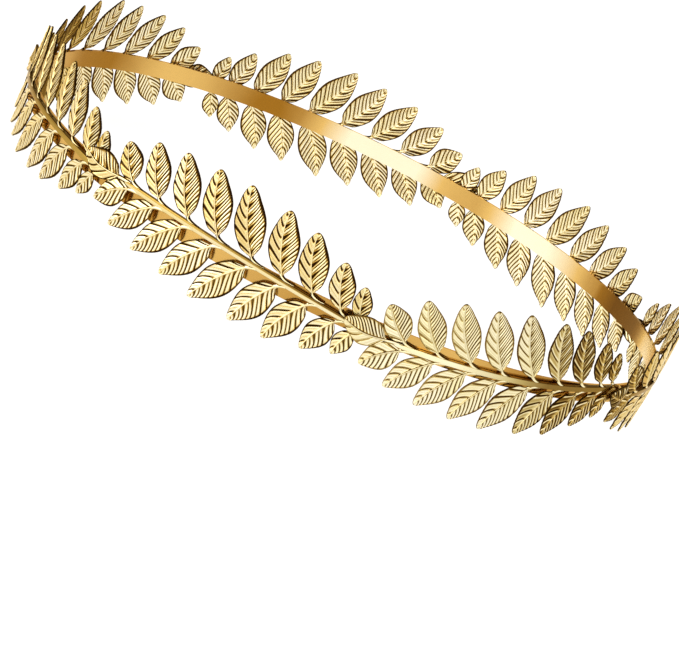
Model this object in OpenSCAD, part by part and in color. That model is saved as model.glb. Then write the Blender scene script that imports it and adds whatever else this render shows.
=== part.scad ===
// Laurel wreath crown: a smooth closed band with seven stamped laurel sprays on its outside.
// The crown lies level, with the ring's axis on Z, its lowest leaf tips at z = 0 and the front at -Y.
// Every spray runs clockwise, seen from above, and its end leaf lies over the foot of the next one.

/* [Band] */
// Diameter inside the band, where the head goes
band_inner_d = 170; // [150:1:200]
// Height of the band
band_w = 4.6; // [3:0.1:8]
// Thickness of the band
band_t = 0.8; // [0.5:0.1:1.5]

/* [Stem] */
// Gap between the band and the back of each stem
seat_gap = 0.2; // [0.1:0.01:0.4]
// Width of the rib that carries the leaves
stem_w = 1.7; // [1:0.1:2.5]
// Thickness of the rib, away from the band
stem_t = 1.3; // [0.8:0.1:2]

/* [Leaves] */
// Reach of the longest leaf, from the stem to its tip
leaf_l = 18; // [12:0.5:22]
// Width of the widest leaf
leaf_w = 7.2; // [4:0.1:9]
// Thickness of the leaf metal
leaf_t = 0.6; // [0.4:0.05:1]
// Length of the stalk between the stem and a leaf
stalk_l = 2.2; // [1:0.1:3]
// Width of a stalk
stalk_w = 0.9; // [0.6:0.1:1.4]
// How far the rims of a leaf stand out from its midrib
leaf_cup = 0.6; // [0:0.05:1]
// How far the tips of the longest leaves bend in towards the head
tip_in = 0.4; // [0:0.1:1]
// Length of the end leaf
end_l = 12.5; // [10:0.5:16]
// Width of the end leaf
end_w = 6.6; // [4:0.1:8]
// How far the end leaf is lifted clear of the next spray
end_lift = 1.2; // [1:0.1:2]

/* [Hidden] */

// How each spray sits on the band. Columns:
// shift: along the ring, as a share of the pitch
// lean: tilt of its upper leaves away from the head, in degrees
// climb: rise from its foot to its tip, in degrees
// lift: height of its middle over the band's middle, as a share of the band's height
// sag: how far its ends lie below its middle, as a share of the band's height
SPRAYS = [
    [ 0.00, -7.2,  2.2,  0.38, 0.33],
    [-0.02,  1.4,  0.4,  0.33, 0.24],
    [ 0.00, -0.2, -0.3,  0.03, 0.35],
    [ 0.02,  4.9,  1.8,  0.11, 0.18],
    [-0.01,  1.8, -2.1, -0.14, 0.42],
    [ 0.00,  3.0,  0.0,  0.00, 0.10],
    [ 0.02, -3.5, -2.5,  0.07, -0.14]
];

// The pairs of leaves from the foot of a spray to its tip. Columns:
// foot: where the pair leaves the stem, as a share of the pitch
// ahead: how far the upper tip lies ahead of that, as a share of leaf_l
// reach: height of the upper tip over the stem, as a share of leaf_l
// width: as a share of leaf_w
LEAVES = [
    [0.030, 0.12, 0.51, 0.61],
    [0.093, 0.23, 0.66, 0.81],
    [0.189, 0.31, 0.81, 0.93],
    [0.294, 0.32, 0.86, 0.97],
    [0.396, 0.48, 0.88, 1.00],
    [0.518, 0.44, 0.83, 0.97],
    [0.628, 0.48, 0.78, 0.90],
    [0.741, 0.47, 0.67, 0.86],
    [0.849, 0.43, 0.46, 0.76]
];

// Outline of a leaf from its stalk to its tip. Columns:
// along: as a share of the blade's length
// fore, aft: width on the spray's tip side and on its foot side, as shares of the leaf's width
// cup: how far the rims stand out, as a share of leaf_cup
OUTLINE = [
    [0.00, 0.07, 0.07, 0.0],
    [0.20, 0.31, 0.40, 0.6],
    [0.50, 0.46, 0.54, 1.0],
    [0.86, 0.26, 0.22, 0.6]
];

ring_r = band_inner_d/2 + band_t;
pitch = 2*PI*ring_r/len(SPRAYS);
// Where the first spray's foot lies, ahead of the front of the ring
first_foot = -0.216*pitch;
// Lower leaves are a little shorter than upper ones and lean further ahead
lower_reach = 0.87;
lower_ahead = 0.075*leaf_l;
// Sideways bow of a leaf's midrib, as a share of its length
midrib_bow = 0.03;
// Where a stalk starts inside the stem, back from the point where its leaf leaves it
stalk_root = 0.6*stalk_l;
// The stem runs to the foot of the end leaf, in straight steps
stem_end = 0.91*pitch;
stem_steps = 12;
// Widths of the stem's first sections from either end, as shares of stem_w
stem_taper = [0.6, 0.8, 1];
// Section of the stem, flat towards the band, as shares of half its width and of its thickness
stem_section = [[-1, 0], [-0.6, 1], [0.6, 1], [1, 0]];
stem_face = seat_gap + stem_t;
// How far leaves stand out from the band: their backs stay a little inside the stem's face
leaf_out = stem_face - 0.7*leaf_t;
end_out = stem_face + end_lift;
end_foot = 0.9*pitch;
end_rise = 0.1*end_l;
band_colour = [0.93, 0.74, 0.42];
leaf_colour = [0.90, 0.76, 0.42];

// Point s along the ring from the front, z over the band's middle and out from the band's face
function on_ring(s, z, out) =
    let (turn = -90 - s/ring_r*180/PI)
    [(ring_r + out)*cos(turn), (ring_r + out)*sin(turn), band_mid + z];

// Height of a spray's stem over the band's middle, d along the spray from its foot
function stem_z(row, d) =
    let (u = 2*d/pitch - 1)
    band_w*row[3] + tan(row[2])*u*pitch/2 + band_w*row[4]*(0.3 - u*u);

// Height of the band's middle over the lowest leaf tip
band_mid = -min([
    for (row = SPRAYS, pair = LEAVES) stem_z(row, pair[0]*pitch) - lower_reach*pair[2]*leaf_l
]);

function spray_foot(i) = first_foot + (i + SPRAYS[i][0])*pitch;

// Sweep of equal rings of points, closed by a flat foot and a pointed tip, or by two flat ends
function ring_faces(rings, n) = [
    for (i = [0:rings - 2], j = [0:n - 1])
        each let (a = i*n + j, b = i*n + (j + 1)%n) [[a, b, a + n], [b, b + n, a + n]]
];
function foot_face(n) = [[for (j = [n - 1:-1:0]) j]];
function end_face(rings, n) = [[for (j = [0:n - 1]) (rings - 1)*n + j]];
function tip_faces(rings, n) = [for (j = [0:n - 1]) [(rings - 1)*n + j, (rings - 1)*n + (j + 1)%n, rings*n]];

module sweep_to_point(rings, tip, flip) {
    n = len(rings[0]);
    faces = concat(foot_face(n), ring_faces(len(rings), n), tip_faces(len(rings), n));
    polyhedron(
        points = [for (ring = rings) each ring, tip],
        faces = flip ? [for (f = faces) [for (j = [len(f) - 1:-1:0]) f[j]]] : faces
    );
}

// One leaf of spray i with its stalk, from its foot d along the stem to its tip, which lies ahead of
// the foot and at reach over the stem, or under it if reach is negative. outs holds how far the
// blade's foot and its outer half stand out from the band.
module leaf(i, d, ahead, reach, width, outs = [leaf_out, leaf_out]) {
    row = SPRAYS[i];
    side = reach < 0 ? -1 : 1;
    chord = norm([ahead, reach]);
    dir = [ahead, reach]/chord;
    fore = side*[dir[1], -dir[0]];
    blade = chord - stalk_l;
    function place(p, out) =
        on_ring(spray_foot(i) + d + p[0], stem_z(row, d) + p[1], out + tan(row[1])*p[1]);
    function mid(u) = dir*(stalk_l + u*blade) + fore*midrib_bow*blade*4*u*(1 - u);
    function out_at(u) = outs[0] + (outs[1] - outs[0])*min(1, 2*u) - tip_in*pow(abs(reach)/leaf_l*u, 2);
    function section(p, wide_fore, wide_aft, cup, out) = [
        place(p + fore*wide_fore, out + cup + leaf_t/2),
        place(p, out + leaf_t/2),
        place(p - fore*wide_aft, out + cup + leaf_t/2),
        place(p - fore*wide_aft, out + cup - leaf_t/2),
        place(p, out - leaf_t/2),
        place(p + fore*wide_fore, out + cup - leaf_t/2)
    ];
    root = section([-stalk_root, 0], stalk_w/2, stalk_w/2, 0, outs[0]);
    rings = concat(
        [root],
        [for (r = OUTLINE) section(mid(r[0]), width*r[1], width*r[2], leaf_cup*r[3], out_at(r[0]))]
    );
    sweep_to_point(rings, place(mid(1), out_at(1)), side > 0);
}

// The stem is a hull from each of its sections to the next
module stem(i) {
    function section(d, wide) = [
        for (p = stem_section)
            on_ring(spray_foot(i) + d, stem_z(SPRAYS[i], d) + p[0]*wide/2, seat_gap + p[1]*stem_t)
    ];
    function wide(k) = stem_w*stem_taper[min(k, stem_steps - k, len(stem_taper) - 1)];
    for (k = [0:stem_steps - 1]) {
        a = section(stem_end*k/stem_steps, wide(k));
        b = section(stem_end*(k + 1)/stem_steps, wide(k + 1));
        n = len(a);
        hull() polyhedron(
            points = concat(a, b),
            faces = concat(foot_face(n), ring_faces(2, n), end_face(2, n))
        );
    }
}

module spray(i) {
    stem(i);
    for (row = LEAVES) {
        d = row[0]*pitch;
        leaf(i, d, row[1]*leaf_l, row[2]*leaf_l, row[3]*leaf_w);
        leaf(i, d, row[1]*leaf_l + lower_ahead, -lower_reach*row[2]*leaf_l, row[3]*leaf_w);
    }
    leaf(i, end_foot, end_l, end_rise, end_w, [leaf_out, end_out]);
}

module band() {
    color(band_colour)
        translate([0, 0, band_mid - band_w/2])
            rotate_extrude($fn = 180)
                translate([band_inner_d/2, 0])
                    square([band_t, band_w]);
}

module spray_1() color(leaf_colour) spray(0);
module spray_2() color(leaf_colour) spray(1);
module spray_3() color(leaf_colour) spray(2);
module spray_4() color(leaf_colour) spray(3);
module spray_5() color(leaf_colour) spray(4);
module spray_6() color(leaf_colour) spray(5);
module spray_7() color(leaf_colour) spray(6);

band();
spray_1();
spray_2();
spray_3();
spray_4();
spray_5();
spray_6();
spray_7();
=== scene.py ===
# %% [markdown]
# # A laurel wreath crown
# A smooth gold band goes once round the head, and seven stamped laurel sprays sit on its outside.
# The plain parts of such a crown are easy; its looks come from the leaves, where every vein is a
# raised rib with a thin dark groove beside it. So the band is kept as the CAD model made it, and
# each spray is made again here as one fine surface with its veins in the metal.

import math
from types import SimpleNamespace

import bpy
import numpy as np
from mathutils import Matrix, Vector


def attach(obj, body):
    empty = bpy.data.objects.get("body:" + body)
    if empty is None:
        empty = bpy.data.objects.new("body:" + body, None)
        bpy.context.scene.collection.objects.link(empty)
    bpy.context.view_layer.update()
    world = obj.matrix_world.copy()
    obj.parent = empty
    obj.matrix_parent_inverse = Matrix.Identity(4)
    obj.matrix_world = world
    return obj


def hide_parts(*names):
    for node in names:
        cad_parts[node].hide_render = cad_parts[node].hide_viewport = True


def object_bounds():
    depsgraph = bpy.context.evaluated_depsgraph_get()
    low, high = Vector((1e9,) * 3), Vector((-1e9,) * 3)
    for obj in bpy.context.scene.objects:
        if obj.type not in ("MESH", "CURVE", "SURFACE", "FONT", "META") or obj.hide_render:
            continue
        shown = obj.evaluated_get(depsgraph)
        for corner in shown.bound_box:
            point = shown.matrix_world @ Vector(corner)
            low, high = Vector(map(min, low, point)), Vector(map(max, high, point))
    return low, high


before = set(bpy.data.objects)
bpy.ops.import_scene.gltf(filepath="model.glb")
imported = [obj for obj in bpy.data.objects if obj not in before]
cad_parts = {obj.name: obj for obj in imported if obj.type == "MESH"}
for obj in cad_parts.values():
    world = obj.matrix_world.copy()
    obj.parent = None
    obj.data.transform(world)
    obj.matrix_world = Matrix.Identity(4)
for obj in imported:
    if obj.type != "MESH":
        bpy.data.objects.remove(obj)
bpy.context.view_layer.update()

# %% [markdown]
# ## Sizes
# A maker writes each size down once. These are the sizes of the CAD model, in millimetres, and its
# two tables: how each spray sits on the band, and where each pair of leaves leaves its stem. The
# mesh is worked out in millimetres and turned into metres only when it is put into Blender.

# %% Sizes of the band, stem and leaves
MM = 0.001
BAND_INNER_D = 170.0
BAND_W = 4.6
BAND_T = 0.8
SEAT_GAP = 0.2
STEM_W = 1.7
STEM_T = 1.3
LEAF_L = 18.0
LEAF_W = 7.2
LEAF_T = 0.6
TIP_IN = 0.4
END_L = 12.5
END_W = 6.6
END_LIFT = 1.2

# Columns: shift along the ring as a share of the pitch, lean in degrees, climb in degrees, lift and
# sag as shares of the band's height
SPRAYS = np.array([
    [0.00, -7.2, 2.2, 0.38, 0.33],
    [-0.02, 1.4, 0.4, 0.33, 0.24],
    [0.00, -0.2, -0.3, 0.03, 0.35],
    [0.02, 4.9, 1.8, 0.11, 0.18],
    [-0.01, 1.8, -2.1, -0.14, 0.42],
    [0.00, 3.0, 0.0, 0.00, 0.10],
    [0.02, -3.5, -2.5, 0.07, -0.14],
])
# Columns: foot as a share of the pitch, ahead and reach as shares of LEAF_L, width as a share of
# LEAF_W
LEAVES = np.array([
    [0.030, 0.12, 0.51, 0.61],
    [0.093, 0.23, 0.66, 0.81],
    [0.189, 0.31, 0.81, 0.93],
    [0.294, 0.32, 0.86, 0.97],
    [0.396, 0.48, 0.88, 1.00],
    [0.518, 0.44, 0.83, 0.97],
    [0.628, 0.48, 0.78, 0.90],
    [0.741, 0.47, 0.67, 0.86],
    [0.849, 0.43, 0.46, 0.76],
])
print(len(SPRAYS), "sprays of", 2 * len(LEAVES) + 1, "leaves")

# %% Sizes that follow from these
RING_R = BAND_INNER_D / 2 + BAND_T
PITCH = 2 * math.pi * RING_R / len(SPRAYS)
FIRST_FOOT = -0.216 * PITCH
LOWER_REACH = 0.87
LOWER_AHEAD = 0.075 * LEAF_L
STEM_END = 0.91 * PITCH
STEM_FACE = SEAT_GAP + STEM_T
LEAF_OUT = STEM_FACE - 0.7 * LEAF_T
END_OUT = STEM_FACE + END_LIFT
END_FOOT = 0.9 * PITCH
END_RISE = 0.1 * END_L
print("each spray takes", round(PITCH, 2), "mm of the ring")

# %% [markdown]
# ## Small corrections
# Seen close up, the real leaves are a little flatter and fuller than the solids', their stalks are
# shorter and the stem is narrower. Each of these is about a millimetre or less, so it is made in
# the fine surface alone.

# %% Corrections to leaves and stem
# How far the rims stand out from the midrib, in millimetres; they lie a little in
LEAF_CUP = -0.2
# How much wider all leaves are, and each pair from the foot of a spray to its tip
ALL_FULLER = 1.04
FULLER = np.array([1.05, 1.05, 1.04, 1.03, 1.03, 1.03, 1.07, 1.07, 1.18])
# Where the blade starts, in millimetres from the middle of the stem
BLADE_START = 1.8
# Half the width of the stem, as a share of STEM_W
STEM_HALF = 0.41
print("the stem is", round(2 * STEM_HALF * STEM_W, 2), "mm wide")

# %% [markdown]
# ## A place on the ring
# Everything on a crown is easiest to say along the band: so far round, so far up, so far out. One
# helper turns those three numbers into a point, for whole arrays at once, so that a flat leaf can
# be drawn flat and still lie on the curve of the ring.

# %% Helpers that place points on the ring
def stem_height(spray, d):
    """Height of a spray's stem over the band's middle, d along it from its foot: a straight climb,
    plus a bow that drops with the square of the distance from the spray's middle."""
    u = 2 * d / PITCH - 1
    climb = np.tan(np.radians(spray[2])) * u * PITCH / 2
    return BAND_W * spray[3] + climb + BAND_W * spray[4] * (0.3 - u * u)


def band_middle():
    """Height of the band's middle: as much as the lowest leaf tip hangs under it, because the crown
    rests on its lowest tips. The columns of SPRAYS meet the feet of all leaves in one go."""
    stems = stem_height(SPRAYS.T[:, :, None], LEAVES[None, :, 0] * PITCH)
    return -(stems - LOWER_REACH * LEAVES[None, :, 2] * LEAF_L).min()


BAND_MID = band_middle()


def on_ring(s, z, out):
    """Point s along the ring from the front, z over the band's middle and out from the band's face:
    the angle is s over the ring's radius, clockwise from the front seen from above."""
    turn = -math.pi / 2 - s / RING_R
    r = RING_R + out
    return np.stack(np.broadcast_arrays(r * np.cos(turn), r * np.sin(turn), BAND_MID + z), axis=-1)


def spray_foot(i):
    """Where spray i starts along the ring: its share of the pitch, counted from the first foot."""
    return FIRST_FOOT + (i + SPRAYS[i][0]) * PITCH


print("the band's middle is", round(BAND_MID, 2), "mm up")

# %% [markdown]
# ## The outline of a leaf
# A laurel leaf is widest a little before its middle and ends in a blunt point, and its two halves
# are not alike: the half towards the spray's tip is narrower and stays full further up. A few
# measured half widths with a smooth curve through them keep that character better than one
# formula would.

# %% Smooth curves and straight ramps
def cubic(t, start, leave, end, arrive):
    """The cubic that runs from start at t = 0, where its slope is leave, to end at t = 1, where its
    slope is arrive."""
    first = (1 + 2 * t) * (1 - t) ** 2 * start + t * (1 - t) ** 2 * leave
    return first + t * t * (3 - 2 * t) * end + t * t * (t - 1) * arrive


def through(u, places, values):
    """Smooth curve through the points (places, values): on each stretch a cubic whose slope at both
    ends is that of the line between the neighbouring points."""
    slopes = np.gradient(values, places)
    k = np.clip(np.searchsorted(places, u, side="right") - 1, 0, len(places) - 2)
    h = places[k + 1] - places[k]
    t = np.clip((u - places[k]) / h, 0, 1)
    return cubic(t, values[k], h * slopes[k], values[k + 1], h * slopes[k + 1])


def ramp(x, start, end):
    """0 before start, 1 after end, and a straight line between them."""
    return np.clip((x - start) / (end - start), 0, 1)


# %% Half widths, cup and bow along a leaf
ALONG = np.array([0.0, 0.095, 0.23, 0.365, 0.5, 0.635, 0.77, 0.905, 0.965, 0.99, 1.0])
FORE_HALF = np.array([0.055, 0.256, 0.358, 0.412, 0.42, 0.37, 0.29, 0.2, 0.115, 0.048, 0.0])
AFT_HALF = np.array([0.055, 0.294, 0.462, 0.558, 0.58, 0.515, 0.39, 0.232, 0.122, 0.05, 0.0])
# How much narrower the sharpest tips are, and each spray's share of that on lower and upper leaves
TIP_NIP = np.array([0.0, 0.0, 0.0, 0.0, 0.0, 0.0, 0.03, 0.085, 0.045, 0.018, 0.0])
LOWER_NIP = np.array([0.55, 0.55, 1.0, 1.0, 1.0, 0.7, 0.5])
UPPER_NIP = np.array([0.0, 0.0, 0.35, 0.4, 0.4, 0.3, 0.15])
# How much of LEAF_CUP there is along a leaf
CUP_ALONG = np.array([0.0, 0.2, 0.5, 0.86, 1.0])
CUP = np.array([0.0, 0.6, 1.0, 0.6, 0.2])
# Sideways bow of the midrib, as a share of the blade's length
BOW = 0.055
# Where the outer part starts to bend, how much leaves differ in that, and its mean
BEND_START = 0.62
BEND_SPREAD = 0.1
BEND_MEAN = 0.06
print("widest half widths:", FORE_HALF.max(), "and", AFT_HALF.max(), "of a leaf's width")

# %% [markdown]
# ## Rows and columns of a leaf
# The veins could be painted on or pushed out by a bump map, but they are wide enough to catch the
# light on both flanks, so they belong in the mesh. If the rows of the mesh ran straight across the
# leaf, each slanting vein would cut through them in steps. Here the rows slant with the veins, as
# the teeth of a herring bone do, so a few rows make each vein crisp.
#
# Twelve rows make one broad rib on the half towards the spray's tip. The same twelve rows make
# three narrow ribs on the other half of an upper leaf, and two on that of a lower leaf.

# %% Rows that slant with the veins
# Width of a broad rib along the midrib in millimetres, and the rows that make it
BROAD_RIB = 2.7
RIB_STEPS = 12
# How far a row runs up the blade on its way to the rim, as a share of half the leaf's width
FORE_SLANT = 1.6
AFT_SLANT = 1.5
# How far before the blade the first rows start, how near the tip the last one does, and where the
# rows have turned to their full slant
FOOT_FAN = 0.66
LAST_ROW = 0.992
FULL_SLANT = 0.3


def vein_rows(blade, width, shift):
    """Starts r of the slanting rows along the midrib, as shares of the blade, each row's place in
    its rib, and how far up the blade a row reaches on its way to either rim. Rows that start below
    0 lie fanned out at the foot of the blade, where the reach grows with an S-shaped step. Near the
    tip it falls off as 1 less an exponential, so the last rows lie across the blade."""
    ribs = blade / BROAD_RIB
    steps = np.arange(-math.ceil(ribs) * RIB_STEPS, math.ceil(ribs) * RIB_STEPS)
    r = (steps + shift * RIB_STEPS) / RIB_STEPS / ribs
    fore = FORE_SLANT * 0.5 * width / blade
    aft = AFT_SLANT * 0.5 * width / blade
    keep = (r > -FOOT_FAN * aft) & (r < LAST_ROW)
    r = r[keep]
    turn = ramp(r, 0, FULL_SLANT)
    turn = turn * turn * (3 - 2 * turn)
    tip = 1 - np.exp(-(1 - r) / (1.2 * fore))
    place = steps[keep] % RIB_STEPS
    return r, place, fore * (0.55 + 0.45 * turn) * tip, aft * (0.6 + 0.4 * turn) * tip


print("rows of a longest leaf:", len(vein_rows(LEAF_L - BLADE_START, LEAF_W, 0)[0]))

# %% Columns from rim to rim
def both_halves(half):
    """Columns given from the midrib to the rim, mirrored: from the fore rim over the midrib to the
    aft rim."""
    half = np.array(half)
    return np.concatenate([half[::-1], half[1:]])


# Where a column lies: a share of the midrib's half width, then a share of the rest
MIDRIB_PART = both_halves([0.0, 0.4, 0.8, 1.0, 1.0, 1.0, 1.0, 1.0, 1.0, 1.0, 1.0])
BLADE_PART = both_halves([0.0, 0.0, 0.0, 0.0, 0.1, 0.3, 0.52, 0.73, 0.86, 0.925, 1.0])
COLUMNS = len(BLADE_PART)
# The columns of the half towards the spray's tip; the midrib counts to the other half
FORE = np.arange(COLUMNS) < COLUMNS // 2
AFT = ~FORE
MIDRIB_HALF = 0.21
print(COLUMNS, "columns on each face,", RIB_STEPS, "rows a rib")

# %% [markdown]
# ## Painted shade along each spray
# The brown in the grooves and on the metal between the crests is painted shade: it stands for the
# dark reflections in the grooves and near the ends of the crown. It is not even: some sprays are
# browner at their foot and some at their tip, and there the metal between the crests is brown as
# well. Two numbers along each spray say how much.

# %% How much painted shade each spray has along its length
# Painted shade in a spray's grooves, at its foot and further on
FOOT_BROWN = np.array([1.15, 0.9, 1.1, 0.9, 0.9, 0.9, 1.1])
LATER_BROWN = np.array([0.9, 1.15, 0.95, 0.9, 0.9, 1.0, 0.5])
# Painted shade on the metal between the crests, at the foot and at the tip, and how much of it the
# backs of the leaves have
FOOT_GROUND = np.array([0.0, 0.0, 0.6, 0.0, 0.0, 0.0, 0.66])
TIP_GROUND = np.array([0.0, 0.35, 0.0, 0.0, 0.0, 1.0, 0.0])
BACK_GROUND = np.array([0.2, 0.2, 1.0, 0.2, 0.2, 0.2, 0.2])


def painted_shade_along(i, d):
    """How much painted shade spray i has at d along it: in its grooves, a straight fall or rise
    over the first part of the spray; on its ground, a straight fall from either end."""
    foot = ramp(d, 0.6 * PITCH, 0.0)
    grooves = LATER_BROWN[i] + (FOOT_BROWN[i] - LATER_BROWN[i]) * foot
    ground = FOOT_GROUND[i] * ramp(d, 0.42 * PITCH, 0.22 * PITCH)
    return grooves, ground + TIP_GROUND[i] * ramp(d, 0.65 * PITCH, 0.95 * PITCH)


middles = [painted_shade_along(i, PITCH / 2)[0] for i in range(len(SPRAYS))]
print("brown in the grooves halfway along each spray:", [round(float(m), 2) for m in middles])

# %% [markdown]
# ## The grid of a leaf
# All leaves are drawn flat first, by the same steps. Each one has four small differences of its
# own, drawn from a seed that its place in the crown gives, so that no two leaves are alike and
# every run gives the same crown.

# %% Draw one leaf flat
# How far the rows of one leaf may be shifted against those of another, as a share of a rib
ROW_SHIFT = 0.4
# Power that bends a row on its way to the rim, how softly rows start at the foot of the blade,
# and the furthest that they reach along it
ROW_BEND = 1.08
SOFT_START = 0.03
LAST_REACH = 0.997


def leaf_grid(i, d, ahead, reach, width):
    """The flat grid of one leaf of spray i, at d along the stem, with its tip ahead of its foot and
    at reach over the stem, or under it if reach is below 0.

    A row that starts at r on the midrib reaches r + S(r) * share across the blade, with S falling
    to nothing at the tip. Half the sum of that number and the root of its square plus a small
    square keeps it over 0 without a kink."""
    chord = math.hypot(ahead, reach)
    leaf = SimpleNamespace(spray=i, side=-1 if reach < 0 else 1)
    leaf.way = np.array([ahead, reach]) / chord
    leaf.fore = leaf.side * np.array([leaf.way[1], -leaf.way[0]])
    leaf.blade = chord - BLADE_START
    leaf.odd = np.random.default_rng(int(1000 * i + 10 * d + leaf.side)).uniform(-1, 1, 4)
    leaf.grooves, leaf.ground = painted_shade_along(i, d)

    r, place, fore_sweep, aft_sweep = vein_rows(leaf.blade, width, ROW_SHIFT * leaf.odd[0])
    leaf.row = place[:, None]
    sweep = np.where(FORE, fore_sweep[:, None], aft_sweep[:, None])
    raw = r[:, None] + sweep * BLADE_PART ** ROW_BEND
    leaf.u = np.minimum(0.5 * (raw + np.sqrt(raw * raw + SOFT_START ** 2)), LAST_REACH)

    nip = TIP_NIP * (LOWER_NIP[i] if leaf.side < 0 else UPPER_NIP[i])
    fore_half = through(leaf.u, ALONG, FORE_HALF - nip)
    aft_half = through(leaf.u, ALONG, AFT_HALF - nip)
    leaf.half = ALL_FULLER * width * np.where(FORE, fore_half, aft_half)
    leaf.ridge = np.minimum(MIDRIB_HALF * (1.15 - 0.5 * leaf.u), 0.55 * leaf.half)
    across = leaf.ridge * MIDRIB_PART + (leaf.half - leaf.ridge) * BLADE_PART
    leaf.share = np.abs(across) / np.maximum(leaf.half, 1e-6)
    leaf.across = np.where(FORE, across, -across)
    return leaf


def midline(leaf, t):
    """The midrib's line at t along the blade: straight along the leaf, plus a parabola that bows it
    towards the spray's tip, plus a small bend of the outer part that differs from leaf to leaf."""
    bend = (BEND_SPREAD * leaf.odd[2] - BEND_MEAN) * np.clip(t - BEND_START, 0, 1) ** 1.5
    bend = BOW * 4 * t * (1 - t) + bend
    straight = leaf.way * (BLADE_START + t[..., None] * leaf.blade)
    return straight + leaf.fore * (bend * leaf.blade)[..., None]


across = ALL_FULLER * LEAF_W * float(FORE_HALF.max() + AFT_HALF.max())
print("the widest leaf is", round(across * FULLER[LEAVES[:, 3].argmax()], 1), "mm across")

# %% [markdown]
# ## Veins in the metal
# Between two grooves a rib is nearly flat, with soft shoulders, and a thin line runs along the
# middle of each broad rib. Beside the midrib short notches are cut where the ribs begin, and a
# fine bead runs along the rim. The back has shallower grooves of its own, because a stamp leaves
# its mark on both faces.

# %% Relief of the front and the back
# Height over the rows of a rib, from 0 in the main groove to 1 on the crests
FORE_SHAPE = np.array([0.0, 0.6, 0.92, 1.0, 1.0, 0.98, 0.93, 0.98, 1.0, 1.0, 0.95, 0.7])
AFT_SHAPE = np.tile([0.0, 0.8, 1.0, 0.92], 3)
LOWER_SHAPE = np.tile([0.0, 0.55, 0.95, 1.0, 0.95, 0.6], 2)
BACK_SHAPE = np.tile([1.0, 1.0, 0.9, 0.0, 0.6, 1.0], 2)
NOTCH_ROWS = np.array([1.0, 1.0, 1.0, 0.4, 0.0, 0.0, 0.0, 0.0, 0.0, 0.0, 0.3, 1.0])
# How much of each there is over the columns
VEIN_SHARE = both_halves([0.0, 0.0, 0.0, 0.35, 0.8, 1.0, 1.0, 1.0, 0.95, 0.7, 0.35])
NOTCH_SHARE = both_halves([0.0, 0.0, 0.5, 1.0, 1.0, 0.45, 0.0, 0.0, 0.0, 0.0, 0.0])
MIDRIB_SHAPE = both_halves([1.0, 0.86, 0.4, 0.0, 0.0, 0.0, 0.0, 0.0, 0.0, 0.0, 0.0])
RIM_SHAPE = both_halves([0.0, 0.0, 0.0, 0.0, 0.0, 0.0, 0.0, 0.0, 0.2, 1.0, 0.4])
# Depths and heights in millimetres
FORE_DEPTH = 0.34
AFT_DEPTH = 0.26
BACK_DEPTH = 0.11
NOTCH_DEPTH = 0.1
MIDRIB_HEIGHT = 0.14
RIM_HEIGHT = 0.06
# How much leaves differ in depth, and how strong the notches of lower leaves are
DEPTH_SPREAD = 0.12
LOWER_NOTCH = 0.6
# Half width under which the veins fade, in millimetres, and from where they fade towards the tip
FADE_HALF = 1.4
FADE_TIP = 0.95


def vein_layers(leaf):
    """How much vein there is at each point, and how much notch: their shares over the columns,
    faded out where the leaf is narrow and at its tip. Notches are on the aft half alone, weaker
    on lower leaves and on paler sprays."""
    leaf.fade = ramp(leaf.half, 0, FADE_HALF) * ramp(leaf.u, 1, FADE_TIP)
    leaf.veins = VEIN_SHARE * leaf.fade
    leaf.notch = NOTCH_ROWS[leaf.row] * NOTCH_SHARE * leaf.fade * AFT
    leaf.notch = leaf.notch * ramp(leaf.grooves, 0.375, 1.0) * (1 if leaf.side > 0 else LOWER_NOTCH)


def leaf_relief(leaf):
    """Height of the front over the sheet and depth of the grooves in the back. The height is the
    midrib's ridge, plus the rim's bead, less the groove or the notch, whichever is deeper. Pale
    sprays have shallower grooves."""
    aft_shape = AFT_SHAPE if leaf.side > 0 else LOWER_SHAPE
    shape = np.where(FORE, FORE_SHAPE[leaf.row], aft_shape[leaf.row])
    depth = np.where(FORE, FORE_DEPTH, AFT_DEPTH) * (1 + DEPTH_SPREAD * leaf.odd[1])
    depth = depth * (0.5 + 0.5 * min(leaf.grooves, 1))
    groove = np.maximum(depth * (1 - shape) * leaf.veins, NOTCH_DEPTH * leaf.notch)
    ridge = MIDRIB_HEIGHT * MIDRIB_SHAPE * np.minimum(1, leaf.ridge / MIDRIB_HALF)
    front = ridge + RIM_HEIGHT * RIM_SHAPE * leaf.fade - groove
    return front, BACK_DEPTH * (1 - BACK_SHAPE[leaf.row]) * leaf.veins


print("grooves are", FORE_DEPTH, "and", AFT_DEPTH, "mm deep, and", BACK_DEPTH, "mm in the back")

# %% [markdown]
# ## Painted shade in the grooves
# The brown is painted shade. It follows the same rows and columns as the relief, so it is worked
# out here, point by point, and kept with the mesh; the finish only has to read it. A bold spray
# has broad dark lines, and a pale one has thinner and lighter ones.

# %% Tables of painted shade
# Painted shade over the rows of a rib, from 0 where it shines to 1
FORE_BROWN = np.array([1.0, 0.85, 0.05, 0.0, 0.0, 0.12, 0.36, 0.15, 0.1, 0.05, 0.1, 0.5])
PALE_BROWN = np.array([1.0, 0.35, 0.4, 1.0, 0.1, 0.0, 0.1, 0.3, 0.15, 0.0, 0.0, 0.15])
AFT_BROWN = np.array([1.0, 0.8, 0.0, 0.0, 0.9, 0.4, 0.0, 0.0, 1.0, 0.6, 0.0, 0.0])
LOWER_BROWN = np.array([1.0, 0.75, 0.0, 0.0, 0.0, 0.3, 1.0, 0.45, 0.0, 0.0, 0.0, 0.2])
BACK_AFT = np.tile([0.0, 0.0, 0.1, 1.0, 0.6, 0.0], 2)
BACK_FORE = np.array([0.0, 0.0, 0.5, 1.0, 1.0, 0.4, 0.0, 0.0, 0.1, 0.9, 0.3, 0.0])
# Painted shadow in spots beside the midrib of the back
BACK_SPOT = np.array([0.0, 0.0, 0.4, 1.0, 1.0, 0.3, 0.0, 0.0, 0.0, 0.0, 0.0, 0.0])
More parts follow.
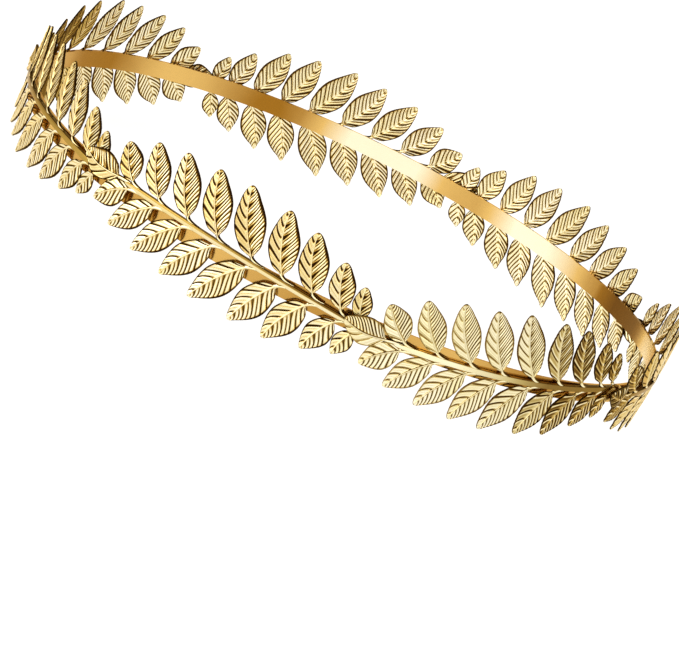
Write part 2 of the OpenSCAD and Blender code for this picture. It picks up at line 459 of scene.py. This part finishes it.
# Rows that stay pale where the ground between them has painted shade
FORE_CREST = np.array([0.0, 0.2, 1.0, 1.0, 0.2, 0.0, 0.0, 0.0, 0.0, 0.3, 0.0, 0.0])
AFT_CREST = np.array([0.0, 0.1, 1.0, 1.0, 0.1, 0.0, 0.0, 0.0, 0.1, 0.8, 0.5, 0.0])
# Painted shade over the columns: beside the midrib, and a dark outline at the rims
MIDRIB_BROWN = both_halves([0.1, 0.12, 0.2, 0.25, 0.0, 0.0, 0.0, 0.0, 0.0, 0.0, 0.0])
RIM_BROWN = both_halves([0.0, 0.0, 0.0, 0.0, 0.0, 0.0, 0.0, 0.0, 0.15, 1.0, 1.0])
# Painted shade, a thin tan over the fore half of upper leaves, which faces away from the light:
# its mean, and how much leaves differ in it
TAN_MEAN = 0.26
TAN_SPREAD = 0.14
# How strong the lines of a pale spray are
PALE_SHARE = 0.55
print("brown rows of a broad rib:", int((FORE_BROWN >= 0.5).sum()), "of", RIB_STEPS)

# %% Painted shade of the front and the back
def most_of(*layers):
    """The highest of several layers at each point."""
    return np.maximum.reduce(np.broadcast_arrays(*layers))


def painted_dark_ground(leaf):
    """Painted shade on the metal between the crests: the spray's ground, less the crests."""
    crest = np.where(FORE, FORE_CREST[leaf.row], AFT_CREST[leaf.row])
    return leaf.ground * (1 - crest) * np.maximum(VEIN_SHARE, 0.6)


def front_brown(leaf):
    """Painted shade of the front: the most that any of its grooves, tan, ground, notches, midrib
    and rims give. Upper leaves have a dark outer rim and a dark point too."""
    bold = ramp(leaf.grooves, 0.4, 0.9)
    fore_lines = bold * FORE_BROWN[leaf.row] + (1 - bold) * PALE_SHARE * PALE_BROWN[leaf.row]
    aft_lines = (AFT_BROWN if leaf.side > 0 else LOWER_BROWN)[leaf.row]
    lines = np.where(FORE, fore_lines, aft_lines) * leaf.veins
    # A painted dark outline at the rims, stronger on bold sprays
    rim = RIM_BROWN * np.where(FORE, 0.9, 0.75 + 0.25 * ramp(leaf.u, 0.3, 0.5))
    rim = rim * (0.4 + 0.6 * bold)
    # The notches beside the midrib get painted shadow as well
    brown = most_of(lines, painted_dark_ground(leaf), leaf.notch, rim, MIDRIB_BROWN)
    if leaf.side < 0:
        return brown
    # Painted shade on the fore half, which faces away from the light
    tan = (TAN_MEAN + TAN_SPREAD * leaf.odd[3]) * bold * FORE * leaf.veins
    # Painted shade on the outer rim of the aft half and on the point of upper leaves
    outer = ramp(leaf.u, 0.45, 0.65) * (RIM_BROWN > 0.1) * AFT
    outer = outer * ramp(leaf.grooves, 0.46875, 1.09375)
    point = np.where(FORE, 0.6, 0.95) * ramp(leaf.u, 0.96, 0.99)
    return most_of(brown, tan, outer, point)


def back_brown(leaf):
    """Painted shade of the back: the most of its lines, ground, spots on its midrib and its rims.
    """
    lines = np.where(FORE, BACK_FORE[leaf.row], BACK_AFT[leaf.row]) * leaf.veins
    ground = BACK_GROUND[leaf.spray] * painted_dark_ground(leaf)
    spots = BACK_SPOT[leaf.row] * (MIDRIB_SHAPE > 0.1) * leaf.fade
    return most_of(lines, ground, spots, 0.8 * RIM_BROWN)


print("brown that bold and pale ribs have at most:", most_of(FORE_BROWN, PALE_SHARE * PALE_BROWN))

# %% [markdown]
# ## The stalk
# A stalk is a short round wire that leaves the stem along its side and bends into the blade. It
# has as many points round it as the blade has columns, so both are one grid without a seam.

# %% Bend a stalk from the stem into the blade
# Where a stalk starts inside the stem, in millimetres: behind its leaf's foot and to its side
STALK_BACK = -3.0
STALK_ASIDE = 0.5
# Half thickness at its root, what it gains by its middle, and how deep the root is sunk
ROOT_HALF = 0.28
HALF_GAIN = 0.17
ROOT_SUNK = 0.25


def stalk(leaf, out):
    """Flat places, front, back and brown of a stalk's rows: a round section carried along a cubic
    that starts along the stem and ends along the blade. The way across it is its own way, which is
    the cubic's slope, turned by a quarter."""
    t = np.linspace(0, 1, 8)[:-1, None]
    start = np.array([STALK_BACK, STALK_ASIDE * leaf.side])
    end = leaf.way * BLADE_START
    pull = np.linalg.norm(end - start)
    leave = np.array([1.0, 0.0]) * pull
    arrive = leaf.way * leaf.blade + leaf.fore * 4 * BOW * leaf.blade
    arrive = arrive / np.linalg.norm(arrive) * pull
    path = cubic(t, start, leave, end, arrive)
    run = 6 * t * (t - 1) * (start - end) + (1 - t) * (1 - 3 * t) * leave + t * (3 * t - 2) * arrive
    run = run / np.linalg.norm(run, axis=1, keepdims=True)
    across = leaf.side * np.stack([run[:, 1], -run[:, 0]], axis=1)

    around = np.linspace(math.pi / 2, -math.pi / 2, COLUMNS)[None, :]
    half = ROOT_HALF + HALF_GAIN * ramp(t, 0, 0.5)
    flat = path[:, None, :] + (half * np.sin(around))[..., None] * across[:, None, :]
    middle = out - ROOT_SUNK * (1 - t) ** 2
    # Painted shade down one side of the stalk, strong on upper leaves and light on lower ones
    brown = (0.9 if leaf.side > 0 else 0.3) * ramp(-np.sin(around), 0.2, 0.7) + 0 * t
    return flat, middle + half * np.cos(around), middle - half * np.cos(around), brown


print("a stalk is", round(2 * (ROOT_HALF + HALF_GAIN), 2), "mm thick")

# %% [markdown]
# ## A whole leaf on the ring
# Now the flat leaf gets its thickness and goes onto the crown. The back follows the front one
# thin sheet behind, with only a little of the front's relief, and the leaf leans with its spray.
# The sheet is thinner than the solids' leaves, as stamped brass is.

# %% Put a leaf on the ring
# Thickness at the midrib in millimetres, and the share of it that is lost at the rims
SHEET_T = 0.42
RIM_THINNER = 0.25
# How much of the front's relief the back has, and the most that it stands out, in millimetres
BACK_SHARE = 0.45
BACK_MOST = 0.03


def loop_of(stalk_front, stalk_back, front, back):
    """Rows that go round the leaf: the stalk's rows before the blade's, and in each row the front
    from rim to rim and then the back the other way."""
    front = np.concatenate([stalk_front, front])
    back = np.concatenate([stalk_back, back])
    return np.concatenate([front, back[:, ::-1]], axis=1)


def leaf_shell(i, d, ahead, reach, width, outs):
    """One leaf of spray i as a grid of closed loops from inside the stem to near the tip, the tip's
    point, how brown each point is, and whether its faces turn round. outs is how far the blade's
    foot and its outer half stand out; the tip bends in with the square of its distance."""
    leaf = leaf_grid(i, d, ahead, reach, width)
    vein_layers(leaf)
    relief, back_groove = leaf_relief(leaf)
    u, share = leaf.u, leaf.share
    out = outs[0] + (outs[1] - outs[0]) * np.minimum(1, 2 * u)
    out = out - TIP_IN * (abs(reach) / LEAF_L * u) ** 2
    out = out + LEAF_CUP * through(u, CUP_ALONG, CUP) * (0.7 * share + 0.3 * share * share)
    thin = SHEET_T * (1 - RIM_THINNER * share)
    front = out + relief + thin / 2
    back = out + np.minimum(BACK_SHARE * relief, BACK_MOST) + back_groove - thin / 2
    flat = midline(leaf, u) + leaf.across[..., None] * leaf.fore

    stalk_flat, stalk_front, stalk_back, stalk_brown = stalk(leaf, outs[0])
    loop_flat = loop_of(stalk_flat, stalk_flat, flat, flat)
    loop_out = loop_of(stalk_front, stalk_back, front, back)
    loop_brown = loop_of(stalk_brown, stalk_brown, front_brown(leaf), back_brown(leaf))

    lean = math.tan(math.radians(SPRAYS[i][1]))
    s, z = spray_foot(i) + d, stem_height(SPRAYS[i], d)
    up = loop_flat[..., 1]
    loops = on_ring(s + loop_flat[..., 0], z + up, loop_out + lean * up)
    tip_ahead, tip_up = midline(leaf, np.array(1.0))
    tip_out = outs[1] - TIP_IN * (abs(reach) / LEAF_L) ** 2 + lean * tip_up
    return loops, on_ring(s + tip_ahead, z + tip_up, tip_out), loop_brown, leaf.side < 0


print("the sheet is", SHEET_T, "mm thick, and", LEAF_T, "mm in the solids")

# %% [markdown]
# ## Closing a loft
# A loft is a stack of loops. Its faces follow from the grid alone: each point joins its neighbour
# and the two behind. The two ends are closed on a single point each, so that the metal has no hole
# where light could leak in.

# %% Turn loops into a closed mesh
def close_loft(loops, tip, turn_round):
    """Points and faces of a loft of loops that ends in a point at both ends: the first pole is the
    middle of the first loop, and the last is tip."""
    rows, n = loops.shape[:2]
    points = np.concatenate([loops.reshape(-1, 3), loops[0].mean(axis=0)[None], tip[None]])
    j = np.arange(n)
    k = (j + 1) % n
    a = np.arange(rows - 1)[:, None] * n + j
    b = np.arange(rows - 1)[:, None] * n + k
    quads = np.stack([a, b, b + n, a + n], axis=-1).reshape(-1, 4)
    foot = np.stack([k, j, np.full(n, rows * n)], axis=1)
    top = np.stack([(rows - 1) * n + j, (rows - 1) * n + k, np.full(n, rows * n + 1)], axis=1)
    triangles = np.concatenate([foot, top])
    if turn_round:
        quads = quads[:, ::-1]
        triangles = triangles[:, ::-1]
    return points, quads, triangles


def volume(points, quads, triangles):
    """Six times the volume is the sum over all triangles of corner a dot (b cross c); it is
    positive when the faces point outwards."""
    t = np.concatenate([quads[:, [0, 1, 2]], quads[:, [0, 2, 3]], triangles])
    a, b, c = points[t[:, 0]], points[t[:, 1]], points[t[:, 2]]
    return float(np.einsum("ij,ij->i", a, np.cross(b, c)).sum() / 6)


square = [(0, 0), (1, 0), (1, 1), (0, 1)]
cube = np.array([[(x, y, z) for x, y in square] for z in (0, 1)], dtype=float)
made = close_loft(cube, np.array([0.5, 0.5, 1.0]), False)
print("a cube of 1 mm made this way holds", round(volume(*made), 3), "mm3")

# %% [markdown]
# ## The stem
# The stem is a narrow rib with a nearly flat top, crisp edges and a flat back, and it thins out at
# both ends. Painted shade gives it a dark line along the upper third of its top and a fainter one
# along its lower edge, and near the ends of some sprays paints the whole stem tan. One profile
# carried along the spray's own curve gives it in one grid.

# %% Carry the stem's profile along a spray
# From the middle to one edge: across as a share of half the width, rise as a share of STEM_T
HALF_ACROSS = np.array([0.0, 0.35, 0.7, 0.88, 0.96, 1.0, 1.0, 1.0, 1.0])
HALF_RISE = np.array([1.0, 0.995, 0.98, 0.96, 0.93, 0.86, 0.78, 0.25, 0.12])
BACK_ACROSS = np.linspace(0.75, -0.75, 5)
STEM_ROWS = 73
# How much painted tan each stem has, at its foot and at its tip, and the most that it may be
STEM_TAN = np.array([
    [0.1, 0.2], [0.42, 0.56], [0.6, 0.0], [0.0, 0.0], [0.0, 0.0], [0.0, 1.0], [1.1, 0.0],
])
MOST_TAN = 0.56


def stem_brown(i, d, across, rise):
    """Painted shade on the stem of spray i: the most of its dark line and upper edge, its lower
    edge, its tan, which runs straight from the foot's to the tip's, and the spray's ground."""
    upper = np.where(rise > 0, across, -1.0)
    lower = np.where(rise > 0, across, 0.0)
    grooves, ground = painted_shade_along(i, d)
    # Painted shade along the upper third of the top, which looks up at the dark air, and at its
    # edge
    lines = 0.5 * ramp(upper, 0.15, 0.35) + 0.5 * ramp(upper, 0.85, 0.95)
    lines = lines * 1.2 * ramp(grooves, 0.5, 1.1)
    tan = STEM_TAN[i][0] + (STEM_TAN[i][1] - STEM_TAN[i][0]) * ramp(d, 0, 0.7 * PITCH)
    # Painted shade along the lower edge too
    return most_of(lines, 0.45 * ramp(lower, -0.9, -0.95), np.minimum(tan, MOST_TAN), 0.6 * ground)


def stem_shell(i):
    """The stem of spray i: a flat-topped profile with narrow round edges, carried along the stem's
    curve, with its width and height falling as roots near both ends."""
    d = np.linspace(0.0, STEM_END, STEM_ROWS)[:, None]
    from_end = np.minimum(d, STEM_END - d) / STEM_END
    across = np.concatenate([-HALF_ACROSS[::-1], HALF_ACROSS[1:], BACK_ACROSS])[None, :]
    rise = np.concatenate([HALF_RISE[::-1], HALF_RISE[1:], 0 * BACK_ACROSS])[None, :]
    wide = STEM_W * STEM_HALF * ramp(from_end, -0.004, 0.116) ** 0.4
    tall = STEM_T * ramp(from_end, -0.004, 0.046) ** 0.5
    z = stem_height(SPRAYS[i], d) + wide * across
    loops = on_ring(spray_foot(i) + d, z, SEAT_GAP + tall * rise)
    return loops, loops[-1].mean(axis=0), stem_brown(i, d, across, rise), False


rows, points_round = stem_shell(0)[0].shape[:2]
print("a stem is a grid of", rows, "by", points_round, "points")

# %% [markdown]
# ## One spray, one piece
# A stamped spray is one piece of metal, so it is one object here too: its stem, nine pairs of
# leaves and the end leaf. Each of its points also keeps how brown it is, its painted shade, and the
# finish reads that later to darken the grooves and the other shaded places.

# %% Join stem and leaves
def spray_parts(i):
    """Points, quads, triangles and brown of a whole spray."""
    shells = [stem_shell(i)]
    for (foot, ahead, reach, width), fuller in zip(LEAVES, FULLER):
        upper = (ahead * LEAF_L, reach * LEAF_L)
        lower = (ahead * LEAF_L + LOWER_AHEAD, -LOWER_REACH * reach * LEAF_L)
        wide = fuller * width * LEAF_W
        for end in (upper, lower):
            shells.append(leaf_shell(i, foot * PITCH, *end, wide, (LEAF_OUT, LEAF_OUT)))
    shells.append(leaf_shell(i, END_FOOT, END_L, END_RISE, END_W, (LEAF_OUT, END_OUT)))

    points, quads, triangles, browns = [], [], [], []
    first = 0
    for loops, tip, brown, turn_round in shells:
        p, q, t = close_loft(loops, tip, turn_round)
        points.append(p)
        quads.append(q + first)
        triangles.append(t + first)
        browns.append(np.concatenate([brown.ravel(), [0.0, 0.0]]))
        first += len(p)
    return [np.concatenate(parts) for parts in (points, quads, triangles, browns)]


def add_mesh(name, points, quads, triangles):
    """A Blender object from arrays in millimetres: the corners of all quads come first, then those
    of the triangles, and each face only says where its own corners start."""
    mesh = bpy.data.meshes.new(name)
    mesh.vertices.add(len(points))
    mesh.vertices.foreach_set("co", (points * MM).astype(np.float32).ravel())
    corners = np.concatenate([quads.ravel(), triangles.ravel()]).astype(np.int32)
    after = len(quads) * 4
    starts = np.concatenate([np.arange(len(quads)) * 4, after + np.arange(len(triangles)) * 3])
    mesh.loops.add(len(corners))
    mesh.loops.foreach_set("vertex_index", corners)
    mesh.polygons.add(len(starts))
    mesh.polygons.foreach_set("loop_start", starts.astype(np.int32))
    mesh.polygons.foreach_set("use_smooth", np.ones(len(starts), dtype=bool))
    mesh.update(calc_edges=True)
    mesh.validate()
    made = bpy.data.objects.new(name, mesh)
    bpy.context.scene.collection.objects.link(made)
    return made


# %% Build the seven sprays
sprays = []
all_triangles = 0
for i in range(len(SPRAYS)):
    points, quads, triangles, browns = spray_parts(i)
    spray = add_mesh(f"laurel_spray_{i + 1}", points, quads, triangles)
    # The attribute "groove" holds the painted shade of every point, in the grooves or not
    layer = spray.data.attributes.new("groove", "FLOAT", "POINT")
    layer.data.foreach_set("value", browns.astype(np.float32))
    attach(spray, "root")
    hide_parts(f"spray_{i + 1}")
    sprays.append(spray)
    count = 2 * len(quads) + len(triangles)
    all_triangles += count
    print(spray.name, count, "triangles,", round(volume(points, quads, triangles)), "mm3")
print("all sprays:", all_triangles, "triangles")

# %% [markdown]
# ## Shader maths in plain Python
# A finish is a small sum of patterns. Written node by node it is hard to read, so one small class
# wraps a socket and lets + - * on it add the Math nodes. A second class holds the nodes of one
# finish and adds any other node.

# %% Numbers that add their own nodes
class Number:
    """A socket that carries a number; arithmetic on it adds Math nodes."""

    def __init__(self, finish, socket):
        self.finish = finish
        self.socket = socket

    def _math(self, operation, a, b=0.0):
        made = self.finish.node("ShaderNodeMath", {"operation": operation}, {0: a, 1: b})
        return Number(self.finish, made.outputs[0])

    def __add__(self, other):
        return self._math("ADD", self, other)

    def __radd__(self, other):
        return self._math("ADD", other, self)

    def __sub__(self, other):
        return self._math("SUBTRACT", self, other)

    def __rsub__(self, other):
        return self._math("SUBTRACT", other, self)

    def __mul__(self, other):
        return self._math("MULTIPLY", self, other)

    def __rmul__(self, other):
        return self._math("MULTIPLY", other, self)

    def __abs__(self):
        return self._math("ABSOLUTE", self)

    def cosine(self):
        return self._math("COSINE", self)

    def positive(self):
        return self._math("MAXIMUM", self, 0.0)

    def clamp(self):
        return self._math("MINIMUM", self.positive(), 1.0)


def patch(share, place, steep, full=1.0):
    """A patch of 1 round one place on the ring that falls off on both sides: full less steep times
    the distance, kept between 0 and 1."""
    return (full - abs(share - place) * steep).clamp()


# %% A finish builder
class Finish:
    """The nodes of a material or of the air: one method adds any node, and the rest are short
    names for common ones."""

    def __init__(self, holder):
        self.holder = holder
        holder.use_nodes = True
        self.tree = holder.node_tree
        self.tree.nodes.clear()

    def node(self, kind, settings, inputs):
        """Add a node: first its settings, such as a ramp's stops, then what feeds its sockets."""
        made = self.tree.nodes.new(kind)
        for key, value in settings.items():
            if key == "stops":
                self.set_stops(made.color_ramp.elements, value)
            else:
                setattr(made, key, value)
        for key, value in inputs.items():
            self.feed(made.inputs[key], value)
        return made

    def set_stops(self, elements, stops):
        """A new ramp has two stops, which become the first and the last."""
        first, *between, last = stops
        for element, (place, colour) in zip(elements, (first, last)):
            element.position = place
            element.color = colour
        for place, colour in between:
            elements.new(place).color = colour

    def feed(self, socket, value):
        """Link a socket, or set it to a plain value."""
        if isinstance(value, Number):
            self.tree.links.new(value.socket, socket)
        elif isinstance(value, bpy.types.NodeSocket):
            self.tree.links.new(value, socket)
        else:
            socket.default_value = value

    def place(self, scale):
        """Object coordinates in metres, stretched by scale."""
        where = self.node("ShaderNodeTexCoord", {}, {}).outputs["Object"]
        mapped = self.node("ShaderNodeMapping", {}, {"Vector": where, "Scale": scale})
        return mapped.outputs["Vector"]

    def round_share(self):
        """The share of a turn about the crown's axis: 0 on the left, 0.25 at the front, 0.5 on the
        right, 0.75 at the back and 1 on the left again."""
        where = self.place((1.0, 1.0, 1.0))
        made = self.node("ShaderNodeTexGradient", {"gradient_type": "RADIAL"}, {"Vector": where})
        return Number(self, made.outputs["Fac"])

    def noise(self, scale, detail, stretch=(1.0, 1.0, 1.0)):
        """Cloudy noise, about scale clouds to the metre."""
        inputs = {"Vector": self.place(stretch), "Scale": scale, "Detail": detail}
        return Number(self, self.node("ShaderNodeTexNoise", {}, inputs).outputs[0])

    def mix(self, factor, a, b):
        """Colour a where factor is 0 and colour b where it is 1."""
        made = self.node("ShaderNodeMix", {"data_type": "RGBA"}, {0: factor, 6: a, 7: b})
        return made.outputs[2]

    def close(self, output, shader):
        """Lead the last shader to the output."""
        self.node(output, {}, {"Surface": shader.outputs[0]})
        print(self.holder.name, "has", len(self.tree.nodes), "nodes")

    def metal(self, colour, roughness, tint, strength, height):
        """Finish as bare metal: colour and roughness vary over it, tint is the colour of its
        reflections at a grazing angle, and height bumps it by a few hundredths of a millimetre."""
        bump = {"Strength": strength, "Distance": 0.00003, "Height": height}
        normal = self.node("ShaderNodeBump", {}, bump).outputs["Normal"]
        self.close("ShaderNodeOutputMaterial", self.node("ShaderNodeBsdfPrincipled", {}, {
            "Base Color": colour,
            "Metallic": 1.0,
            "Roughness": roughness,
            "Specular Tint": tint,
            "Normal": normal,
        }))


# %% [markdown]
# ## The gold of the leaves
# The leaves are stamped brass with a thin pale gold plating. Plating is never quite even, so the
# colour drifts a little between a pale and a lemon gold. The brown that was kept with the mesh is
# painted shade: where it gets thicker, the colour goes over tan and red brown to nearly black. At
# the front right the painted tan is cooler, nearly olive. Reflections at a grazing angle stay
# golden through the specular tint; without it the rims would turn grey there.

# %% Finish of the leaves
GOLD_PALE = (0.98, 0.92, 0.70, 1.0)
GOLD_LEMON = (0.93, 0.83, 0.44, 1.0)
# Colours of the painted shade, from thin to thick
GOLD_TAN = (0.66, 0.45, 0.10, 1.0)
GOLD_OLIVE = (0.54, 0.43, 0.16, 1.0)
RED_BROWN = (0.26, 0.13, 0.02, 1.0)
GROOVE_BROWN = (0.02, 0.007, 0.001, 1.0)
LEAF_GRAZING = (1.0, 0.84, 0.58, 1.0)

leaf_gold = Finish(bpy.data.materials.new("leaf_gold"))
drift = leaf_gold.noise(90.0, 3.0)
grain = leaf_gold.noise(2600.0, 2.0)
# The painted shade that was kept with the mesh
groove = leaf_gold.node("ShaderNodeAttribute", {"attribute_name": "groove"}, {})
shade = Number(leaf_gold, groove.outputs["Fac"]).clamp()
cool = patch(leaf_gold.round_share(), 0.33, 18, 1.6)
crest = leaf_gold.mix((drift * 2.0 - 0.6).clamp(), GOLD_PALE, GOLD_LEMON)
tan = leaf_gold.mix(cool, GOLD_TAN, GOLD_OLIVE)
flank = leaf_gold.mix((shade * 2.5).clamp(), crest, tan)
flank = leaf_gold.mix((shade * 3 - 0.9).clamp(), flank, RED_BROWN)
colour = leaf_gold.mix((shade * 2.2 - 0.9).clamp(), flank, GROOVE_BROWN)
leaf_gold.metal(colour, 0.15 + 0.07 * drift + 0.12 * shade, LEAF_GRAZING, 0.12, grain)
for spray in sprays:
    spray.data.materials.append(leaf_gold.holder)

# %% [markdown]
# ## The gold of the band
# The band is a smooth rolled strip. Fine lines run round it from rolling and polishing, and they
# spread the reflections a little up and down. Its plating is warmer than the leaves' and drifts a
# little at random. Painted onto it are reflections of the studio, which change along the ring: nine
# soft waves, weaker at the front, with pale stretches at the back and on the right, a darker one at
# the left back and one dark corner at the right back.

# %% Finish of the band
BAND_PALE = (0.98, 0.89, 0.64, 1.0)
BAND_TAN = (0.76, 0.48, 0.14, 1.0)
BAND_DEEP = (0.34, 0.15, 0.015, 1.0)
BAND_DARK = (0.12, 0.045, 0.006, 1.0)
BAND_GRAZING = (1.0, 0.87, 0.66, 1.0)
ONE_TURN = 2 * math.pi

# Places below are shares of a turn: 0.25 at the front, 0.5 on the right and 0.75 at the back
band_gold = Finish(bpy.data.materials.new("band_gold"))
drift = band_gold.noise(45.0, 3.0)
lines = band_gold.noise(60.0, 3.0, (1.0, 1.0, 60.0))
share = band_gold.round_share()
# Painted reflections of the studio round the ring: waves, front, dark corner, pale stretches
waves = ((share - 0.59) * (9 * ONE_TURN)).cosine()
front = ((share - 0.2) * ONE_TURN).cosine().clamp()
corner = patch(share, 0.576, 55, 1.7)
pale = patch(share, 0.745, 20) + 0.8 * patch(share, 0.665, 20)
pale = pale + 0.3 * patch(share, 0.53, 50, 1.2) - 0.3 * (share * 16 - 14.8).clamp()
deep = 0.75 - 0.04 * front + 0.25 * waves * (1 - 0.7 * front) + 0.3 * (drift - 0.5)
deep = (deep + 0.4 * corner - pale).clamp()
warm = band_gold.mix((deep * 2).clamp(), BAND_PALE, BAND_TAN)
tone_and_painted_reflection = band_gold.mix((deep * 2 - 1).clamp(), warm, BAND_DEEP)
tone_and_painted_reflection = band_gold.mix(0.85 * corner, tone_and_painted_reflection, BAND_DARK)
band_gold.metal(tone_and_painted_reflection, 0.13 + 0.1 * lines, BAND_GRAZING, 0.05, lines)
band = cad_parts["band"]
band.data.materials.clear()
band.data.materials.append(band_gold.holder)

# %% [markdown]
# ## Floor and light
# Polished metal shows its surroundings more than its own colour. A white table, set at the lowest
# leaf tip, fills the faces that look down and forward with light. The air is bright and warm near
# the horizon and dark brown above, and draws brown lines on every edge that looks up; on the right
# its bright part reaches higher. Large soft lamps stand to the left and behind, and a long low
# warm one in front.

# %% A white table
TABLE_HALF = 8.0
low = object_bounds()[0][2]
floor_mesh = bpy.data.meshes.new("table")
around = [(-1, -1), (1, -1), (1, 1), (-1, 1)]
corners = [(TABLE_HALF * x, TABLE_HALF * y, low) for x, y in around]
floor_mesh.from_pydata(corners, [], [(0, 1, 2, 3)])
table = bpy.data.objects.new("table", floor_mesh)
bpy.context.scene.collection.objects.link(table)
table_white = Finish(bpy.data.materials.new("table_white"))
table_white.close("ShaderNodeOutputMaterial", table_white.node("ShaderNodeBsdfPrincipled", {}, {
    "Base Color": (0.33, 0.33, 0.33, 1.0),
    "Roughness": 0.6,
    "Emission Color": (0.98, 0.99, 1.0, 1.0),
    "Emission Strength": 0.92,
}))
floor_mesh.materials.append(table_white.holder)
print("the table lies at", round(low * 1000, 2), "mm")

# %% Soft lamps
# The point that all lamps look at, in metres
CROWN_MIDDLE = Vector((0, 0, 0.015))


def lamp(name, place, width, height, power, colour=(1.0, 1.0, 1.0)):
    """A soft lamp, a plain rectangle, that looks at the crown."""
    data = bpy.data.lights.new(name, "AREA")
    data.shape = "RECTANGLE"
    data.size = width
    data.size_y = height
    data.energy = power
    data.color = colour
    made = bpy.data.objects.new(name, data)
    made.location = place
    made.rotation_euler = (CROWN_MIDDLE - Vector(place)).to_track_quat("-Z", "Y").to_euler()
    bpy.context.scene.collection.objects.link(made)
    print(name, "is", round((CROWN_MIDDLE - Vector(place)).length, 2), "m from the crown")


lamp("left_lamp", (-1.2, -0.6, 0.45), 1.2, 1.2, 9.0)
lamp("back_lamp", (-0.3, 1.0, 1.2), 0.7, 0.7, 6.0)
lamp("front_lamp", (0.1, -1.3, 0.40), 2.0, 0.36, 3.2, (1.0, 0.95, 0.82))

# %% Air
# Heights, as the sine of the angle over the horizon, and the colour of the air there
AIR_STOPS = (
    (0.085, (1.0, 0.98, 0.93, 1.0)),
    (0.15, (0.85, 0.75, 0.50, 1.0)),
    (0.30, (0.78, 0.64, 0.36, 1.0)),
    (0.42, (0.42, 0.27, 0.09, 1.0)),
    (0.7, (0.10, 0.05, 0.012, 1.0)),
)
# How much higher each colour reaches on the right
RIGHT_RISE = 0.17

air = Finish(bpy.data.worlds.new("air"))
looks = air.node("ShaderNodeTexCoord", {}, {}).outputs["Generated"]
parts = air.node("ShaderNodeSeparateXYZ", {}, {"Vector": looks})
height = Number(air, parts.outputs["Z"]) - RIGHT_RISE * Number(air, parts.outputs["X"]).positive()
tint = air.node("ShaderNodeValToRGB", {"stops": AIR_STOPS}, {"Fac": height}).outputs["Color"]
air.close("ShaderNodeOutputWorld", air.node("ShaderNodeBackground", {}, {"Color": tint}))
bpy.context.scene.world = air.holder
bpy.context.scene.view_settings.view_transform = "Standard"

# %% [markdown]
# ## The camera
# The crown was seen from a metre away and fifteen degrees above the table, with the camera rolled
# by a little more than a quarter of a right angle, which is why the level ring stands on a slant.

# %% Camera at the photograph's angle
ELEVATION = math.radians(15.26)
ROLL = math.radians(26.18)
DISTANCE = 1.038
LENS = 218.6
SENSOR = 36.0
# Where the camera aims: right of the crown's axis and under the band's middle, in metres
AIM_RIGHT = 0.0111
AIM_UNDER = 0.0269

aim = Vector((AIM_RIGHT, 0.0, BAND_MID * MM - AIM_UNDER))
forward = Vector((0, math.cos(ELEVATION), -math.sin(ELEVATION)))
level_up = Vector((0, math.sin(ELEVATION), math.cos(ELEVATION)))
level_right = Vector((1, 0, 0))
right = level_right * math.cos(ROLL) + level_up * math.sin(ROLL)
up = level_up * math.cos(ROLL) - level_right * math.sin(ROLL)
camera_data = bpy.data.cameras.new("camera")
camera_data.lens = LENS
camera_data.sensor_width = SENSOR
camera_data.sensor_fit = "HORIZONTAL"
camera_data.clip_start = 0.01
camera_data.clip_end = 50.0
camera = bpy.data.objects.new("camera", camera_data)
turn = Matrix((right, up, -forward)).transposed()
camera.matrix_world = Matrix.Translation(aim - forward * DISTANCE) @ turn.to_4x4()
bpy.context.scene.collection.objects.link(camera)
bpy.context.scene.camera = camera
print("the camera stands", round((aim - forward * DISTANCE).z, 3), "m over the table")
